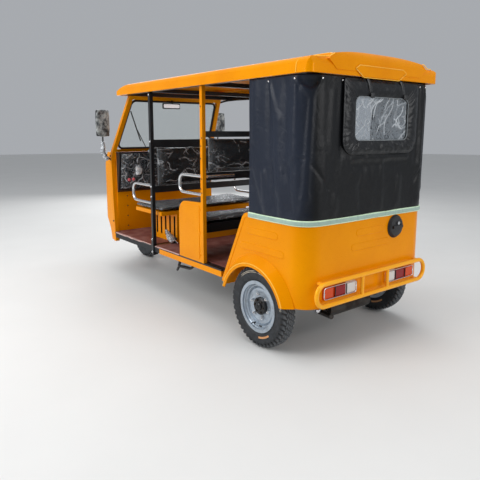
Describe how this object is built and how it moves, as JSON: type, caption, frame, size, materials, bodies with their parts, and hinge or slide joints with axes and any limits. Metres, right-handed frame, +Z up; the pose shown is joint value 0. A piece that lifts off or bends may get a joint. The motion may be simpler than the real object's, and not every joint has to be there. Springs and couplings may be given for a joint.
{
  "type": "passenger motor tricycle",
  "caption": "Three-wheeled passenger vehicle: open cabin with bench seats, hard roof, rear curtain and one steered front wheel.",
  "frame": {"origin": "bottom centre of the whole vehicle, on the ground", "axes": "+X forward, +Y left, +Z up"},
  "size_m": [3.403, 1.47, 1.85],
  "materials": {
    "yellow_paint": "glossy yellow-orange enamel",
    "black_paint": "satin black enamel",
    "chassis_black": "dull black chassis paint",
    "silver_wheel": "silver painted steel",
    "tyre_rubber": "dull black rubber",
    "cast_metal": "cast and machined",
    "chrome": "bright chrome plate",
    "black_plastic": "grained black plastic",
    "mirror_shell": "black plastic shell with a mirror face",
    "clear_glass": "clear",
    "clear_film": "clear flexible plastic",
    "curtain_cloth": "coated blue-black cloth",
    "hem_tape": "pale mint tape",
    "seat_vinyl": "black vinyl",
    "lamp_red": "red and amber lens",
    "lamp_clear": "clear lens",
    "floor_steel": "painted sheet steel",
    "exhaust_steel": "heat-dulled steel"
  },
  "bodies": {
    "vehicle_body": {"backrest_bars": "black_paint", "cross_members": "chassis_black", "curtain_hem": "hem_tape", "curtain_window": "clear_film", "dashboard": "black_plastic", "door_mirrors": "mirror_shell", "drive_shaft": "chassis_black", "driver_backrest": "seat_vinyl", "driver_cushion": "seat_vinyl", "driver_seat_base": "yellow_paint", "engine_block": "cast_metal", "exhaust": "exhaust_steel", "floor_pan": "floor_steel", "frame_rails": "chassis_black", "front_cowl": "yellow_paint", "front_pillars": "yellow_paint", "front_posts": "black_paint", "fuel_cap": "black_plastic", "grab_handles": "chrome", "head_frame": "chassis_black", "headlamps": "lamp_clear", "inner_front_panel": "yellow_paint", "leaf_springs": "chassis_black", "mid_backrest": "seat_vinyl", "mid_cushion": "seat_vinyl", "mid_seat_base": "black_paint", "rear_axle": "chassis_black", "rear_backrest": "seat_vinyl", "rear_bumper": "yellow_paint", "rear_curtain": "curtain_cloth", "rear_cushion": "seat_vinyl", "rear_posts": "yellow_paint", "rear_seat_base": "black_paint", "rear_tub": "yellow_paint", "roof_cross_bars": "black_paint", "roof_shell": "yellow_paint", "roof_side_rails": "black_paint", "side_panels": "yellow_paint", "side_sills": "yellow_paint", "tail_lamps": "lamp_red", "windscreen_fittings": "black_plastic", "windscreen_glass": "clear_glass", "windscreen_rails": "yellow_paint"},
    "steering": {"front_fork": "chassis_black", "handlebar": "chrome", "front_mudguard": "black_paint"},
    "front_wheel_body": {"front_wheel": "silver_wheel", "front_tyre": "tyre_rubber"},
    "rear_left_wheel_body": {"rear_left_wheel": "silver_wheel", "rear_left_tyre": "tyre_rubber"},
    "rear_right_wheel_body": {"rear_right_wheel": "silver_wheel", "rear_right_tyre": "tyre_rubber"}
  },
  "joints": [
    {"name": "steering_turn", "type": "hinge", "parent": "vehicle_body", "child": "steering", "pos_m": [1.36248, 0, 0.271], "axis": [-0.454, 0, 0.891], "range_deg": [-32, 32]},
    {"name": "front_wheel_spin", "type": "hinge", "parent": "steering", "child": "front_wheel_body", "pos_m": [1.40248, 0, 0.271], "axis": [0, 1, 0], "continuous": true},
    {"name": "rear_left_wheel_spin", "type": "hinge", "parent": "vehicle_body", "child": "rear_left_wheel_body", "pos_m": [-1.24752, 0.577, 0.271], "axis": [0, 1, 0], "continuous": true},
    {"name": "rear_right_wheel_spin", "type": "hinge", "parent": "vehicle_body", "child": "rear_right_wheel_body", "pos_m": [-1.24752, -0.577, 0.271], "axis": [0, 1, 0], "continuous": true}
  ]
}
